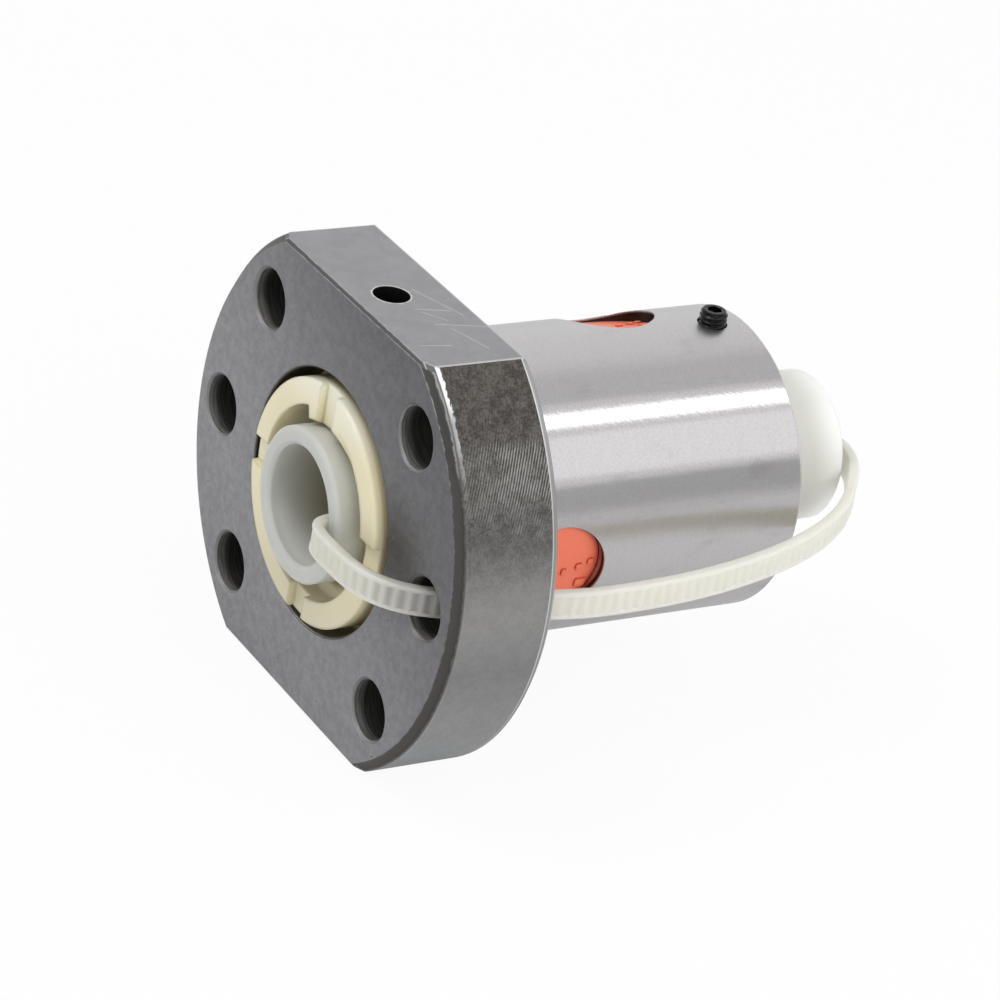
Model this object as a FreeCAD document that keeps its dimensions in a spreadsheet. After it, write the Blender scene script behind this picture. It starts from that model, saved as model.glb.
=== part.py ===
import FreeCAD, Part
import math
import os
import Sketcher
from FreeCAD import Placement, Rotation, Vector

# Flanged ball screw nut for a 16 mm screw of 5 mm lead, right-hand, on its transport sleeve.
# The screw axis is Y. The origin is where it meets the back face of the flange, so the flange
# lies on the -Y side, the round body on the +Y side, and the two flats face up and down.
# Angles round the axis run from +X towards +Z.

CIRCUITS = 3
WIPER_SLOTS = 4
SOCKET_SIDES = 6
QUARTER_TURN = 90.0
HALF_TURN = 180.0
FULL_TURN = 360.0
# How far cutting shapes run past what they cut, in millimetres.
OVERCUT = 1.0
PATH_STEPS = 240
CHANNEL_STEPS = 12
# Two lengths closer than this are the same.
SAME_LENGTH = 1e-6

SIZES = (
    # Flange
    ("flange_diameter", 48.0),
    ("flange_width", 40.0),
    ("flange_thickness", 10.0),
    ("rim_chamfer", 0.95),
    ("flat_chamfer", 0.4),
    ("back_chamfer", 0.4),
    # Bolt holes
    ("bolt_rim_margin", 5.0),
    ("bolt_hole_diameter", 5.5),
    ("bolt_hole_chamfer", 0.25),
    ("bolt_angle", 45.0),
    # Round body
    ("body_diameter", 28.0),
    ("rear_chamfer", 0.5),
    # Ball track
    ("ball_diameter", 3.175),
    ("ball_circle", 17.4),
    ("ball_play", 0.3),
    ("lead", 5.0),
    ("track_gap", 0.11),
    ("land_inset", 0.1),
    # Ball returns
    ("first_return_station", 7.1),
    ("first_return_angle", -8.0),
    ("rear_land", 12.067),
    ("window_diameter", 9.3),
    ("deflector_fit", 0.05),
    ("deflector_recess", 1.1),
    ("return_lift", 1.4),
    # Wipers and their seats
    ("seat_wall", 2.0),
    ("seat_depth", 5.0),
    ("seat_edge", 0.2),
    ("wiper_fit", 0.05),
    ("wiper_reach", 0.75),
    ("wiper_face_gap", 0.8),
    ("wiper_base_depth", 1.2),
    ("wiper_edge", 0.25),
    ("wiper_bore_gap", 0.2),
    ("lip_gap", 0.25),
    ("lip_root", 0.5),
    ("lip_start_angle", 109.0),
    ("lip_start_depth", 0.9),
    ("lip_sweep", 290.0),
    ("slot_width", 2.7),
    ("slot_depth", 0.75),
    # Grease port
    ("port_diameter", 3.3),
    ("port_inset", 4.0),
    # Wiper set screw
    ("screw_diameter", 2.6),
    ("screw_fit", 0.1),
    ("screw_length", 4.1),
    ("screw_inset", 3.7),
    ("screw_bite", 0.75),
    ("screw_chamfer", 0.25),
    ("socket_width", 1.27),
    ("socket_depth", 1.3),
    # Transport sleeve
    ("sleeve_gap", 0.05),
    ("sleeve_bore", 10.8),
    ("sleeve_front_reach", 2.1),
    ("sleeve_rear_reach", 9.5),
    ("sleeve_edge", 0.3),
    # Cable tie
    ("strap_width", 2.6),
    ("strap_thickness", 1.0),
    ("strap_gap", 0.3),
    ("strap_hole_gap", 0.12),
    ("strap_front_slack", 0.9),
    ("strap_rear_slack", 3.7),
    ("strap_lean", 2.8),
    ("strap_side_start", 4.5),
    ("strap_side_shift", 1.6),
    ("strap_shoulder_inset", 2.0),
    ("strap_rear_offset", 2.1),
    ("strap_rear_corner", 4.4),
    ("front_bend", 2.2),
    ("hole_bend", 8.0),
    ("side_bend", 25.0),
    ("shoulder_bend", 34.0),
    ("strap_rear_straight", 0.4),
    ("head_station", 12.0),
    ("head_length", 4.6),
    ("head_width", 4.2),
    ("head_wall", 1.0),
    ("tail_offset", 0.8),
    ("tail_overhang", 2.0),
)


class Size:
    """A dimension: its present number, and the sheet expression that keeps it bound."""

    def __init__(self, number, text):
        self.number = number
        self.text = text

    def __add__(self, other):
        other = as_size(other)
        return Size(self.number + other.number, f"({self.text} + {other.text})")

    def __sub__(self, other):
        other = as_size(other)
        return Size(self.number - other.number, f"({self.text} - {other.text})")

    def __mul__(self, other):
        other = as_size(other)
        return Size(self.number * other.number, f"({self.text} * {other.text})")

    def __truediv__(self, other):
        other = as_size(other)
        return Size(self.number / other.number, f"({self.text} / {other.text})")

    def __neg__(self):
        return Size(-self.number, f"(0 - {self.text})")


class Sizes:
    """The driving dimensions of the sheet, each one as a Size under its alias."""


def as_size(item):
    """A plain number as a Size, and a Size as it is."""
    if isinstance(item, Size):
        return item
    return Size(float(item), f"{float(item)}")


def cosine(angle):
    """Cosine of an angle in degrees, as a Size."""
    return Size(math.cos(math.radians(angle.number)), f"cos({angle.text} * 1deg)")


def sine(angle):
    """Sine of an angle in degrees, as a Size."""
    return Size(math.sin(math.radians(angle.number)), f"sin({angle.text} * 1deg)")


def make_sheet(doc):
    """The spreadsheet of driving dimensions, and the same dimensions as named Sizes."""
    sheet = doc.addObject("Spreadsheet::Sheet", "sizes")
    for row, (alias, number) in enumerate(SIZES, start=1):
        sheet.set(f"A{row}", alias)
        sheet.set(f"B{row}", str(number))
        sheet.setAlias(f"B{row}", alias)
    doc.recompute()
    sizes = Sizes()
    for alias, _ in SIZES:
        setattr(sizes, alias, Size(float(sheet.get(alias)), f"sizes.{alias}"))
    return sizes


doc = FreeCAD.newDocument("ball_screw_nut")
d = make_sheet(doc)

# Sizes that follow from the driving ones
flange_radius = d.flange_diameter / 2
bolt_radius = flange_radius - d.bolt_rim_margin
body_radius = d.body_diameter / 2
seat_radius = body_radius - d.seat_wall
track_radius = d.ball_circle / 2
land_radius = track_radius - d.land_inset
groove_radius = d.ball_diameter / 2 + d.track_gap
return_step = d.lead * (1 + 1 / CIRCUITS)
body_length = d.first_return_station + return_step * (CIRCUITS - 1) + d.rear_land
front_face = -d.flange_thickness
front_seat = front_face + d.seat_depth
rear_seat = body_length - d.seat_depth
deflector_radius = d.window_diameter / 2 - d.deflector_fit
deflector_reach = body_radius - d.deflector_recess
sleeve_radius = track_radius - d.ball_diameter / 2 - d.sleeve_gap
lip_radius = track_radius - sleeve_radius - d.lip_gap
wiper_radius = seat_radius - d.wiper_fit
wiper_bore_radius = land_radius + d.wiper_bore_gap
screw_radius = d.screw_diameter / 2
screw_tip = wiper_radius - d.screw_bite
sleeve_front = front_face - d.sleeve_front_reach
sleeve_rear = body_length + d.sleeve_rear_reach


def bind(item, path, size):
    """Tie one property of a document object to the sheet."""
    item.setExpression(path, size.text)


def origin_part(body, role):
    """The plane or axis of a body's own origin that has this role."""
    return next(part for part in body.Origin.OriginFeatures if part.Role == role)


def sketch_on(body, role, name, offset=None):
    """A sketch on one of the body's origin planes, shifted or turned by a placement."""
    sketch = body.newObject("Sketcher::SketchObject", name)
    sketch.AttachmentSupport = (origin_part(body, role), [""])
    sketch.MapMode = "FlatFace"
    if offset is not None:
        sketch.AttachmentOffset = offset
    return sketch


def pin(sketch, geometry, point, across, up):
    """Hold a point of a sketch at bound distances from the sketch's origin."""
    for kind, size in (("DistanceX", across), ("DistanceY", up)):
        index = sketch.addConstraint(Sketcher.Constraint(kind, -1, 1, geometry, point, size.number))
        bind(sketch, f"Constraints[{index}]", size)


def outline(sketch, corners):
    """A closed outline of straight lines, with every corner pinned."""
    corners = [(as_size(across), as_size(up)) for across, up in corners]
    spots = [Vector(across.number, up.number, 0) for across, up in corners]
    lines = []
    for start, end in zip(spots, spots[1:] + spots[:1]):
        lines.append(sketch.addGeometry(Part.LineSegment(start, end)))
    for line, following in zip(lines, lines[1:] + lines[:1]):
        sketch.addConstraint(Sketcher.Constraint("Coincident", line, 2, following, 1))
    for line, (across, up) in zip(lines, corners):
        pin(sketch, line, 1, across, up)


def disc(sketch, across, up, radius):
    """A full circle with bound centre and radius."""
    across, up = as_size(across), as_size(up)
    spot = Vector(across.number, up.number, 0)
    circle = sketch.addGeometry(Part.Circle(spot, Vector(0, 0, 1), radius.number))
    pin(sketch, circle, 3, across, up)
    index = sketch.addConstraint(Sketcher.Constraint("Radius", circle, radius.number))
    bind(sketch, f"Constraints[{index}]", radius)


def rib_section(sketch, across, up, radius, back):
    """A half disc that bulges towards the axis, with straight sides behind it to its back."""
    up = as_size(up)
    top, bottom = up + radius, up - radius
    circle = Part.Circle(Vector(across.number, up.number, 0), Vector(0, 0, 1), radius.number)
    arc = sketch.addGeometry(Part.ArcOfCircle(circle, math.pi / 2, math.pi * 3 / 2))
    corners = ((across, top), (back, top), (back, bottom), (across, bottom))
    spots = [Vector(corner.number, height.number, 0) for corner, height in corners]
    lines = [sketch.addGeometry(Part.LineSegment(*ends)) for ends in zip(spots, spots[1:])]
    for line, following in zip(lines, lines[1:]):
        sketch.addConstraint(Sketcher.Constraint("Coincident", line, 2, following, 1))
    sketch.addConstraint(Sketcher.Constraint("Coincident", arc, 1, lines[0], 1))
    sketch.addConstraint(Sketcher.Constraint("Coincident", arc, 2, lines[-1], 2))
    pin(sketch, arc, 3, across, up)
    for line, (corner, height) in zip(lines, corners):
        pin(sketch, line, 1, corner, height)
    index = sketch.addConstraint(Sketcher.Constraint("DistanceX", -1, 1, arc, 2, across.number))
    bind(sketch, f"Constraints[{index}]", across)


def round_axis(angle):
    """A turn of a sketch about its own up axis, which is the screw axis on the XY plane."""
    return Placement(Vector(), Rotation(Vector(0, 1, 0), -angle))


def turned(body, name, corners, seam=0.0):
    """A turned solid: an outline of radius and station, revolved about the screw axis.

    The seam is the angle where the revolved faces start and end.
    """
    sketch = sketch_on(body, "XY_Plane", f"{name}_profile", round_axis(seam))
    outline(sketch, corners)
    solid = body.newObject("PartDesign::Revolution", name)
    solid.Profile = sketch
    solid.ReferenceAxis = (origin_part(body, "Y_Axis"), [""])
    solid.Angle = FULL_TURN
    return solid


def pocket(body, name, sketch, depth=None, away=False):
    """A cut from a sketch: through everything both ways, or to a depth on one side."""
    cut = body.newObject("PartDesign::Pocket", name)
    cut.Profile = sketch
    if depth is None:
        cut.Type = "ThroughAll"
        cut.SideType = "Symmetric"
    else:
        bind(cut, "Length", depth)
        cut.Reversed = away
    return cut


def turned_by(angle, across, up):
    """A sketch point turned about the sketch's origin."""
    return (
        across * cosine(angle) - up * sine(angle),
        across * sine(angle) + up * cosine(angle),
    )


def mirrored(body, feature, role):
    """A feature's twin on the other side of an origin plane."""
    twin = body.newObject("PartDesign::Mirrored", f"{feature.Name}_twin")
    twin.Originals = [feature]
    twin.MirrorPlane = (origin_part(body, role), [""])
    body.Tip = twin
    return twin


def chamfer(body, name, size, chosen):
    """Break the edges of the body's tip that a test picks out."""
    doc.recompute()
    tip = body.Tip
    edges = [f"Edge{i}" for i, edge in enumerate(tip.Shape.Edges, start=1) if chosen(edge)]
    broken = body.newObject("PartDesign::Chamfer", name)
    broken.Base = (tip, edges)
    bind(broken, "Size", size)
    return broken


def at_angle(angle):
    """A turn about a sketch's own across axis, which is the screw axis on the YZ plane."""
    return Placement(Vector(), Rotation(Vector(1, 0, 0), -angle))


def return_angle(circuit):
    """Where a circuit's return sits round the axis: each is a third of a turn on from the last."""
    return d.first_return_angle.number - circuit * FULL_TURN / CIRCUITS


def return_station(circuit):
    """Where a circuit's return sits along the axis."""
    return d.first_return_station + return_step * circuit


def is_hole_mouth(edge):
    """True for the round edge of a bolt hole on the front face of the flange."""
    curve = edge.Curve
    if not isinstance(curve, Part.Circle):
        return False
    same_radius = abs(curve.Radius - d.bolt_hole_diameter.number / 2) < SAME_LENGTH
    return same_radius and abs(curve.Center.y - front_face.number) < SAME_LENGTH


def make_nut_body():
    """The steel nut: a turned blank, its flats, bolt holes, ball track, windows and tapped holes."""
    body = doc.addObject("PartDesign::Body", "nut_body")
    turned(body, "blank", (
        (seat_radius + d.seat_edge, front_face),
        (flange_radius - d.rim_chamfer, front_face),
        (flange_radius, front_face + d.rim_chamfer),
        (flange_radius, -d.back_chamfer),
        (flange_radius - d.back_chamfer, 0),
        (body_radius, 0),
        (body_radius, body_length - d.rear_chamfer),
        (body_radius - d.rear_chamfer, body_length),
        (seat_radius + d.seat_edge, body_length),
        (seat_radius, body_length - d.seat_edge),
        (seat_radius, rear_seat),
        (land_radius, rear_seat),
        (land_radius, front_seat),
        (seat_radius, front_seat),
        (seat_radius, front_face + d.seat_edge),
    ))

    half_width = d.flange_width / 2
    top = flange_radius + OVERCUT
    sketch = sketch_on(body, "YZ_Plane", "flat_profile")
    outline(sketch, (
        (front_face - OVERCUT, half_width - d.flat_chamfer - OVERCUT),
        (front_face + d.flat_chamfer, half_width),
        (-d.back_chamfer, half_width),
        (OVERCUT, half_width - d.back_chamfer - OVERCUT),
        (OVERCUT, top),
        (front_face - OVERCUT, top),
    ))
    flat = pocket(body, "flat", sketch)
    mirrored(body, flat, "XY_Plane")

    sketch = sketch_on(body, "XZ_Plane", "bolt_hole_profile")
    hole_radius = d.bolt_hole_diameter / 2
    disc(sketch, bolt_radius, 0, hole_radius)
    for side in (1, -1):
        across = bolt_radius * cosine(d.bolt_angle)
        up = bolt_radius * sine(d.bolt_angle) * side
        disc(sketch, across, up, hole_radius)
    holes = pocket(body, "bolt_holes", sketch)
    mirrored(body, holes, "YZ_Plane")
    chamfer(body, "bolt_hole_mouths", d.bolt_hole_chamfer, is_hole_mouth)

    cut_ball_track(body)
    for circuit in range(CIRCUITS):
        offset = at_angle(return_angle(circuit))
        sketch = sketch_on(body, "YZ_Plane", f"window_profile_{circuit + 1}", offset)
        disc(sketch, return_station(circuit), 0, d.window_diameter / 2)
        pocket(body, f"window_{circuit + 1}", sketch, body_radius + OVERCUT, away=True)

    sketch = sketch_on(body, "XY_Plane", "port_profile")
    disc(sketch, 0, front_face + d.port_inset, d.port_diameter / 2)
    pocket(body, "grease_port", sketch, half_width + OVERCUT, away=True)

    sketch = sketch_on(body, "XY_Plane", "screw_hole_profile")
    disc(sketch, 0, body_length - d.screw_inset, screw_radius + d.screw_fit)
    pocket(body, "screw_hole", sketch, body_radius + OVERCUT, away=True)
    return body


def cut_ball_track(body):
    """The right-hand helical groove, run out into the wiper seats at both ends of the land.

    At the middle of a return window the groove passes half a lead before and behind it, and the
    sketch plane is at angle zero, so the first turn is moved back from there by whole leads.
    """
    passing = d.first_return_station - d.lead / 2 + d.lead * d.first_return_angle / FULL_TURN
    land_front = front_seat - groove_radius
    land_rear = rear_seat + groove_radius
    turns_back = math.ceil((passing.number - land_front.number) / d.lead.number) + 1
    first = passing - d.lead * turns_back
    turns = math.ceil((land_rear.number - first.number) / d.lead.number) + 1
    sketch = sketch_on(body, "XY_Plane", "track_profile")
    disc(sketch, track_radius, first, groove_radius)
    track = body.newObject("PartDesign::SubtractiveHelix", "ball_track")
    track.Profile = sketch
    track.ReferenceAxis = (origin_part(body, "Y_Axis"), [""])
    track.Mode = "pitch-height-angle"
    bind(track, "Pitch", d.lead)
    bind(track, "Height", d.lead * turns)
    track.LeftHanded = False


def make_wiper(name, placement, bitten):
    """A plastic wiper ring with a thread-form lip inside and open slots across its face.

    It is drawn in the front seat. The rear one is the same ring turned about, with the dent that
    the set screw's tip makes in its rim.
    """
    body = doc.addObject("PartDesign::Body", name)
    face = front_face - d.wiper_reach
    base = front_seat - d.wiper_base_depth
    face_radius = seat_radius - d.wiper_face_gap
    turned(body, f"{name}_ring", (
        (wiper_bore_radius, face),
        (face_radius - d.wiper_edge, face),
        (face_radius, face + d.wiper_edge),
        (face_radius, base),
        (wiper_radius, base),
        (wiper_radius, front_seat),
        (wiper_bore_radius, front_seat),
    ), seam=FULL_TURN / WIPER_SLOTS / 2)

    offset = round_axis(d.lip_start_angle.number)
    sketch = sketch_on(body, "XY_Plane", f"{name}_lip_profile", offset)
    lip_back = wiper_bore_radius + d.lip_root
    rib_section(sketch, track_radius, face + d.lip_start_depth, lip_radius, lip_back)
    lip = body.newObject("PartDesign::AdditiveHelix", f"{name}_lip")
    lip.Profile = sketch
    lip.ReferenceAxis = (origin_part(body, "Y_Axis"), [""])
    lip.Mode = "pitch-turns-angle"
    bind(lip, "Pitch", d.lead)
    bind(lip, "Turns", d.lip_sweep / FULL_TURN)
    lip.LeftHanded = False

    trim_reach = lip_radius * 2
    for side, station, away in (("face", face, False), ("seat", front_seat, True)):
        offset = Placement(Vector(0, 0, -station.number), Rotation())
        sketch = sketch_on(body, "XZ_Plane", f"{name}_{side}_trim_profile", offset)
        disc(sketch, 0, 0, seat_radius)
        pocket(body, f"{name}_{side}_trim", sketch, trim_reach, away=not away)

    offset = Placement(Vector(0, 0, OVERCUT - face.number), Rotation())
    sketch = sketch_on(body, "XZ_Plane", f"{name}_slot_profile", offset)
    half_slot = d.slot_width / 2
    inside = d.sleeve_bore / 2
    slot_corners = (
        (inside, -half_slot),
        (seat_radius, -half_slot),
        (seat_radius, half_slot),
        (inside, half_slot),
    )
    for slot in range(WIPER_SLOTS):
        angle = as_size(FULL_TURN * slot / WIPER_SLOTS)
        outline(sketch, [turned_by(angle, reach, side) for reach, side in slot_corners])
    pocket(body, f"{name}_slots", sketch, d.slot_depth + OVERCUT)

    if bitten:
        offset = Placement(Vector(0, 0, screw_tip.number), Rotation())
        sketch = sketch_on(body, "XY_Plane", f"{name}_dent_profile", offset)
        disc(sketch, 0, front_face + d.screw_inset, screw_radius + d.screw_fit)
        pocket(body, f"{name}_dent", sketch, seat_radius, away=True)
    body.Placement = placement
    return body


def make_set_screw():
    """The black grub screw over the rear wiper, with a hexagon socket in its proud end."""
    body = doc.addObject("PartDesign::Body", "wiper_set_screw")
    end = screw_tip + d.screw_length
    sketch = sketch_on(body, "XZ_Plane", "screw_profile")
    outline(sketch, (
        (0, screw_tip),
        (screw_radius - d.screw_chamfer, screw_tip),
        (screw_radius, screw_tip + d.screw_chamfer),
        (screw_radius, end - d.screw_chamfer),
        (screw_radius - d.screw_chamfer, end),
        (0, end),
    ))
    shank = body.newObject("PartDesign::Revolution", "screw_shank")
    shank.Profile = sketch
    shank.ReferenceAxis = (origin_part(body, "Z_Axis"), [""])
    shank.Angle = FULL_TURN

    offset = Placement(Vector(0, 0, end.number), Rotation())
    sketch = sketch_on(body, "XY_Plane", "socket_profile", offset)
    corner_radius = d.socket_width / 2 / cosine(as_size(HALF_TURN / SOCKET_SIDES))
    corners = []
    for side in range(SOCKET_SIDES):
        angle = as_size(FULL_TURN * (side + 0.5) / SOCKET_SIDES)
        corners.append((corner_radius * cosine(angle), corner_radius * sine(angle)))
    outline(sketch, corners)
    pocket(body, "socket", sketch, d.socket_depth)
    body.Placement = Placement(Vector(0, (body_length - d.screw_inset).number, 0), Rotation())
    return body


def make_sleeve():
    """The plain plastic tube that stands in for the screw and keeps the balls in."""
    body = doc.addObject("PartDesign::Body", "transport_sleeve")
    bore_radius = d.sleeve_bore / 2
    turned(body, "sleeve_tube", (
        (bore_radius, sleeve_front + d.sleeve_edge),
        (bore_radius + d.sleeve_edge, sleeve_front),
        (sleeve_radius - d.sleeve_edge, sleeve_front),
        (sleeve_radius, sleeve_front + d.sleeve_edge),
        (sleeve_radius, sleeve_rear - d.sleeve_edge),
        (sleeve_radius - d.sleeve_edge, sleeve_rear),
        (bore_radius + d.sleeve_edge, sleeve_rear),
        (bore_radius, sleeve_rear - d.sleeve_edge),
    ))
    return body


def on_axis_cylinder(radius, station, angle):
    """The point at this radius, station and angle round the screw axis."""
    turn = math.radians(angle)
    return Vector(radius * math.cos(turn), station, radius * math.sin(turn))


def half_return():
    """Half the angle over which a return carries the balls across, kept inside the insert."""
    across = math.sqrt(deflector_radius.number ** 2 - (d.lead.number / 2) ** 2)
    return math.degrees(math.asin(across / track_radius.number))


def groove_station(station, turn, passing):
    """Where the groove that passes a return at this station lies, a turn away from the return."""
    return station + passing - d.lead.number * turn / FULL_TURN


def return_point(share):
    """A ball's centre in a return at station and angle zero, from one groove (0) to the next (1).

    The path follows the first groove, shifts to the second on half a cosine wave, and rises over
    the screw's crest on a squared sine between them.
    """
    turn = half_return() * (1 - 2 * share)
    half_lead = d.lead.number / 2
    inside = min(max(share, 0.0), 1.0)
    shift = (1 - math.cos(math.pi * inside)) / 2
    station = groove_station(0, turn, half_lead - d.lead.number * shift)
    radius = track_radius.number + d.return_lift.number * math.sin(math.pi * inside) ** 2
    return on_axis_cylinder(radius, station, turn)


def circuit_path():
    """One closed ball circuit at station and angle zero, as points along the balls' centres."""
    start = -half_return()
    loaded_turn = FULL_TURN - 2 * half_return()
    points = []
    for step in range(PATH_STEPS):
        turn = start - loaded_turn * step / PATH_STEPS
        station = groove_station(0, turn, -d.lead.number / 2)
        points.append(on_axis_cylinder(track_radius.number, station, turn))
    for step in range(PATH_STEPS):
        points.append(return_point(step / PATH_STEPS))
    return points


def spaced_along(points, gap):
    """Points evenly spaced round a closed path, as many as fit with at least this gap."""
    ends = points[1:] + points[:1]
    runs = [(end - start).Length for start, end in zip(points, ends)]
    total = sum(runs)
    count = math.floor(total / gap)
    spots = []
    walked = 0.0
    for start, end, run in zip(points, ends, runs):
        while len(spots) < count and len(spots) * total / count < walked + run:
            share = (len(spots) * total / count - walked) / run
            spots.append(start + (end - start) * share)
        walked += run
    return spots


def circuit_placement(circuit):
    """From a circuit drawn at station and angle zero to its place in the nut."""
    shift = Vector(0, return_station(circuit).number, 0)
    return Placement(shift, Rotation(Vector(0, 1, 0), -return_angle(circuit)))


def make_balls():
    """The steel balls of each circuit, spaced along its loaded turn and its return."""
    gap = d.ball_diameter.number + d.ball_play.number
    spots = spaced_along(circuit_path(), gap)
    balls = []
    for circuit in range(CIRCUITS):
        place = circuit_placement(circuit)
        for number, spot in enumerate(spots, start=1):
            ball = doc.addObject("Part::Sphere", f"ball_{circuit + 1}_{number:02d}")
            bind(ball, "Radius", d.ball_diameter / 2)
            ball.Placement = Placement(place.multVec(spot), Rotation())
            balls.append(ball)
    return balls


def land_cylinder():
    """The land's cylinder about the screw axis, long enough to trim an insert at station zero."""
    cylinder = doc.addObject("Part::Cylinder", "land_cylinder")
    bind(cylinder, "Radius", land_radius)
    bind(cylinder, "Height", d.window_diameter * 2)
    down = Vector(0, -d.window_diameter.number, 0)
    cylinder.Placement = Placement(down, Rotation(Vector(1, 0, 0), -QUARTER_TURN))
    return cylinder


def make_return_channel():
    """The S-shaped passage that lifts the balls from one groove back to the one before it."""
    run_out = groove_radius.number / (2 * track_radius.number * math.radians(half_return()))
    spread = 1 + 2 * run_out
    shares = [spread * step / CHANNEL_STEPS - run_out for step in range(CHANNEL_STEPS + 1)]
    spine = Part.BSplineCurve()
    spine.interpolate([return_point(share) for share in shares])
    start = spine.value(spine.FirstParameter)
    along = spine.tangent(spine.FirstParameter)[0]
    section = Part.Wire(Part.Circle(start, along, groove_radius.number).toShape())
    channel = doc.addObject("Part::Feature", "return_channel")
    channel.Shape = Part.Wire(spine.toShape()).makePipeShell([section], True, False)
    return channel


def make_deflectors():
    """The moulded return inserts: round plugs with a flat top below the skin, trimmed to the land."""
    plug = doc.addObject("Part::Cylinder", "plug")
    bind(plug, "Radius", deflector_radius)
    bind(plug, "Height", deflector_reach)
    plug.Placement = Placement(Vector(), Rotation(Vector(0, 1, 0), QUARTER_TURN))
    hollowed = doc.addObject("Part::Cut", "hollowed_plug")
    hollowed.Base = plug
    hollowed.Tool = land_cylinder()
    insert = doc.addObject("Part::Cut", "insert")
    insert.Base = hollowed
    insert.Tool = make_return_channel()
    doc.recompute()
    deflectors = []
    for circuit in range(CIRCUITS):
        deflector = doc.addObject("Part::Feature", f"deflector_{circuit + 1}")
        deflector.Shape = insert.Shape
        deflector.Placement = circuit_placement(circuit)
        deflectors.append(deflector)
    return deflectors


def shared_bend(before, first, second, after, straight):
    """Radius of the equal bends at two neighbouring corners that leaves this straight between."""
    across = second - first
    turns = ((first - before).getAngle(across), across.getAngle(after - second))
    return (across.Length - straight) / sum(math.tan(turn / 2) for turn in turns)


def strap_route():
    """The strap's centre line in the plane of the +X bolt hole, as corners and bend radii.

    It leaves the head inside the sleeve, curls over the sleeve's front end, leans through the bolt
    hole, runs back beside the body, and turns into the sleeve's rear end to the head again.
    """
    half_width = d.strap_width.number / 2
    half_thick = d.strap_thickness.number / 2
    bore_room = d.sleeve_bore.number / 2 - d.strap_gap.number
    inside = math.sqrt(bore_room ** 2 - half_width ** 2) - half_thick
    front = sleeve_front.number - d.strap_front_slack.number - half_thick
    rear = sleeve_rear.number + d.strap_rear_slack.number + half_thick

    hole = bolt_radius.number
    hole_room = math.sqrt((d.bolt_hole_diameter.number / 2) ** 2 - half_width ** 2)
    lean = hole_room - half_thick - d.strap_hole_gap.number
    slope = d.strap_lean.number / d.flange_thickness.number

    head_middle = d.head_station.number + d.head_length.number / 2
    side = d.strap_side_start.number
    shoulder = Vector(
        hole + d.strap_side_shift.number,
        body_length.number - d.strap_shoulder_inset.number,
        0,
    )
    rear_outside = Vector(d.strap_rear_corner.number, rear, 0)
    rear_inside = Vector(-d.strap_rear_offset.number, rear, 0)
    tail_end = Vector(d.tail_offset.number, d.head_station.number - d.tail_overhang.number, 0)
    rear_straight = d.strap_rear_straight.number
    rear_bend = shared_bend(shoulder, rear_outside, rear_inside, tail_end, rear_straight)
    return (
        (Vector(inside, head_middle, 0), None),
        (Vector(inside, front, 0), d.front_bend.number),
        (Vector(hole + lean + slope * front, front, 0), d.hole_bend.number),
        (Vector(hole + lean + slope * side, side, 0), d.side_bend.number),
        (shoulder, d.shoulder_bend.number),
        (rear_outside, rear_bend),
        (rear_inside, rear_bend),
        (tail_end, None),
    )


def bend_arc(before, corner, after, radius, side):
    """Start, middle and end of the arc that rounds a left-hand corner, moved out by side."""
    entry = (corner - before).normalize()
    leaving = (after - corner).normalize()
    turn = entry.getAngle(leaving)
    setback = radius * math.tan(turn / 2)
    left = Vector(-entry.y, entry.x, 0)
    centre = corner - entry * setback + left * radius
    reach = radius + side
    start = centre - left * reach
    end = centre - Vector(-leaving.y, leaving.x, 0) * reach
    middle = centre + (corner - centre).normalize() * reach
    return start, middle, end


def strap_side(route, side):
    """One long edge of the strap: straight runs joined by tangent arcs, side outwards."""
    spots = [spot for spot, _ in route]
    first = (spots[1] - spots[0]).normalize()
    last = (spots[-1] - spots[-2]).normalize()
    start = spots[0] + Vector(first.y, -first.x, 0) * side
    finish = spots[-1] + Vector(last.y, -last.x, 0) * side
    pieces = []
    here = start
    for before, (corner, radius), after in zip(spots, route[1:-1], spots[2:]):
        arc_start, arc_middle, arc_end = bend_arc(before, corner, after, radius, side)
        pieces.append(Part.LineSegment(here, arc_start))
        pieces.append(Part.Arc(arc_start, arc_middle, arc_end))
        here = arc_end
    pieces.append(Part.LineSegment(here, finish))
    return pieces, start, finish


def make_cable_tie():
    """The nylon tie that holds the sleeve in: one flat strap with its head, moulded together."""
    body = doc.addObject("PartDesign::Body", "cable_tie")
    route = strap_route()
    half_thick = d.strap_thickness.number / 2
    outer, outer_start, outer_end = strap_side(route, half_thick)
    inner, inner_start, inner_end = strap_side(route, -half_thick)
    sketch = sketch_on(body, "XY_Plane", "strap_profile")
    caps = [Part.LineSegment(outer_end, inner_end), Part.LineSegment(inner_start, outer_start)]
    sketch.addGeometry(outer + inner + caps)
    strap = body.newObject("PartDesign::Pad", "strap")
    strap.Profile = sketch
    strap.SideType = "Symmetric"
    bind(strap, "Length", d.strap_width)

    sketch = sketch_on(body, "XY_Plane", "head_profile")
    half_head = d.head_width.number / 2
    bore_room = d.sleeve_bore.number / 2 - d.strap_gap.number
    far_side = math.sqrt(bore_room ** 2 - half_head ** 2)
    near_side = d.tail_offset - d.strap_thickness / 2 - d.head_wall
    head_back = d.head_station + d.head_length
    outline(sketch, (
        (near_side, d.head_station),
        (far_side, d.head_station),
        (far_side, head_back),
        (near_side, head_back),
    ))
    head = body.newObject("PartDesign::Pad", "head")
    head.Profile = sketch
    head.SideType = "Symmetric"
    bind(head, "Length", d.head_width)
    return body


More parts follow.
